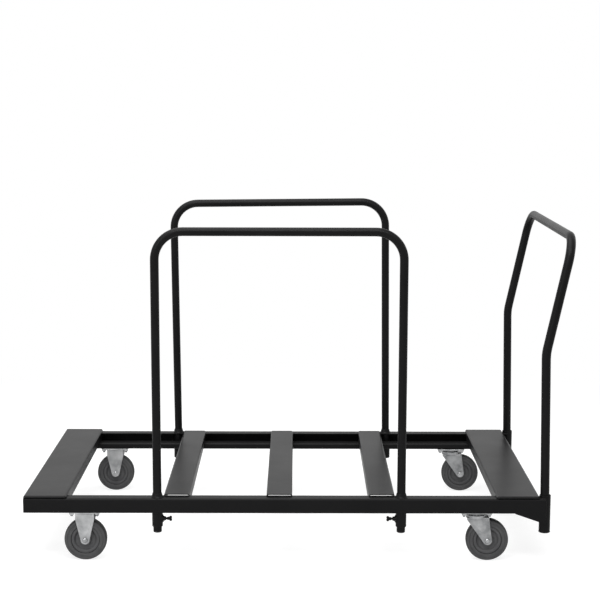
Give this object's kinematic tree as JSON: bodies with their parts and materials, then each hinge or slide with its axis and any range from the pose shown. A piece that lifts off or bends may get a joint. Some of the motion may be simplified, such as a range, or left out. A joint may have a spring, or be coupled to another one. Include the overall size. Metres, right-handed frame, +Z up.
{
  "type": "banquet table trolley",
  "caption": "Black steel banquet table trolley with a slatted deck, two lift-out side hoops, a leaning push handle, and fixed and swivel casters.",
  "frame": {"origin": "On the floor, under the middle of the overall length and width.", "axes": "+X runs along the deck from the fixed casters to the push handle, +Y across the deck to the back side, +Z up."},
  "size_m": [1.6187, 0.838, 1.0182],
  "materials": {
    "black_coat": "semi_gloss",
    "zinc_steel": "satin",
    "wheel_rubber": "matte",
    "wheel_plastic": "matte",
    "plug_plastic": "matte"
  },
  "bodies": {
    "chassis": {"side_rail_front": "black_coat", "side_rail_back": "black_coat", "end_slat_left": "black_coat", "end_slat_right": "black_coat", "mid_slat_left": "black_coat", "mid_slat_centre": "black_coat", "mid_slat_right": "black_coat", "hoop_socket_front_left": "black_coat", "hoop_socket_front_right": "black_coat", "hoop_socket_back_left": "black_coat", "hoop_socket_back_right": "black_coat", "clamp_bosses": "black_coat", "handle_socket_front": "black_coat", "handle_socket_back": "black_coat", "handle_socket_plugs": "plug_plastic", "caster_bolts": "zinc_steel", "caster_nuts": "zinc_steel", "rigid_fork_front": "zinc_steel", "rigid_fork_back": "zinc_steel", "rigid_axle_bolts": "zinc_steel", "rigid_axle_nuts": "zinc_steel", "rigid_axle_sleeves": "zinc_steel", "swivel_plate_front": "zinc_steel", "swivel_plate_back": "zinc_steel", "king_pin_front": "zinc_steel", "king_pin_back": "zinc_steel", "swivel_balls_front": "zinc_steel", "swivel_balls_back": "zinc_steel"},
    "hoop_front": {"hoop_tube_front": "black_coat", "hoop_plugs_front": "plug_plastic"},
    "hoop_back": {"hoop_tube_back": "black_coat", "hoop_plugs_back": "plug_plastic"},
    "handle": {"handle_tube": "black_coat"},
    "clamp_front_left": {"clamp_screw_front_left": "black_coat"},
    "clamp_front_right": {"clamp_screw_front_right": "black_coat"},
    "clamp_back_left": {"clamp_screw_back_left": "black_coat"},
    "clamp_back_right": {"clamp_screw_back_right": "black_coat"},
    "swivel_front": {"swivel_fork_front": "zinc_steel", "swivel_axle_bolt_front": "zinc_steel", "swivel_axle_nut_front": "zinc_steel", "swivel_axle_sleeve_front": "zinc_steel"},
    "swivel_back": {"swivel_fork_back": "zinc_steel", "swivel_axle_bolt_back": "zinc_steel", "swivel_axle_nut_back": "zinc_steel", "swivel_axle_sleeve_back": "zinc_steel"},
    "wheel_front_left": {"wheel_tyre_front_left": "wheel_rubber", "wheel_core_front_left": "wheel_plastic"},
    "wheel_front_right": {"wheel_tyre_front_right": "wheel_rubber", "wheel_core_front_right": "wheel_plastic"},
    "wheel_back_left": {"wheel_tyre_back_left": "wheel_rubber", "wheel_core_back_left": "wheel_plastic"},
    "wheel_back_right": {"wheel_tyre_back_right": "wheel_rubber", "wheel_core_back_right": "wheel_plastic"}
  },
  "joints": [
    {"name": "hoop_front_lift", "type": "slide", "parent": "chassis", "child": "hoop_front", "axis": [0, 0, 1], "range_m": [0, 0.125]},
    {"name": "hoop_back_lift", "type": "slide", "parent": "chassis", "child": "hoop_back", "axis": [-0.0108, 0, 0.9999], "range_m": [0, 0.11]},
    {"name": "handle_lift", "type": "slide", "parent": "chassis", "child": "handle", "axis": [-0.0175, 0, 0.9998], "range_m": [0, 0.11]},
    {"name": "clamp_front_left_turn", "type": "hinge", "parent": "chassis", "child": "clamp_front_left", "pos_m": [-0.41531, -0.399, 0.133], "axis": [1, 0, 0], "range_deg": [0, 810]},
    {"name": "clamp_front_right_turn", "type": "hinge", "parent": "chassis", "child": "clamp_front_right", "pos_m": [0.30669, -0.399, 0.133], "axis": [-1, 0, 0], "range_deg": [0, 810]},
    {"name": "clamp_back_left_turn", "type": "hinge", "parent": "chassis", "child": "clamp_back_left", "pos_m": [-0.41531, 0.399, 0.133], "axis": [1, 0, 0], "range_deg": [0, 810]},
    {"name": "clamp_back_right_turn", "type": "hinge", "parent": "chassis", "child": "clamp_back_right", "pos_m": [0.30669, 0.399, 0.133], "axis": [-1, 0, 0], "range_deg": [0, 810]},
    {"name": "swivel_front_turn", "type": "hinge", "parent": "chassis", "child": "swivel_front", "pos_m": [0.53169, -0.373, 0.1425], "axis": [0, 0, 1], "continuous": true},
    {"name": "swivel_back_turn", "type": "hinge", "parent": "chassis", "child": "swivel_back", "pos_m": [0.53169, 0.373, 0.1425], "axis": [0, 0, 1], "continuous": true},
    {"name": "wheel_front_left_spin", "type": "hinge", "parent": "chassis", "child": "wheel_front_left", "pos_m": [-0.63231, -0.373, 0.0635], "axis": [0, 1, 0], "continuous": true},
    {"name": "wheel_front_right_spin", "type": "hinge", "parent": "swivel_front", "child": "wheel_front_right", "pos_m": [0.56569, -0.373, 0.0635], "axis": [0, 1, 0], "continuous": true},
    {"name": "wheel_back_left_spin", "type": "hinge", "parent": "chassis", "child": "wheel_back_left", "pos_m": [-0.63231, 0.373, 0.0635], "axis": [0, 1, 0], "continuous": true},
    {"name": "wheel_back_right_spin", "type": "hinge", "parent": "swivel_back", "child": "wheel_back_right", "pos_m": [0.56569, 0.373, 0.0635], "axis": [0, 1, 0], "continuous": true}
  ]
}
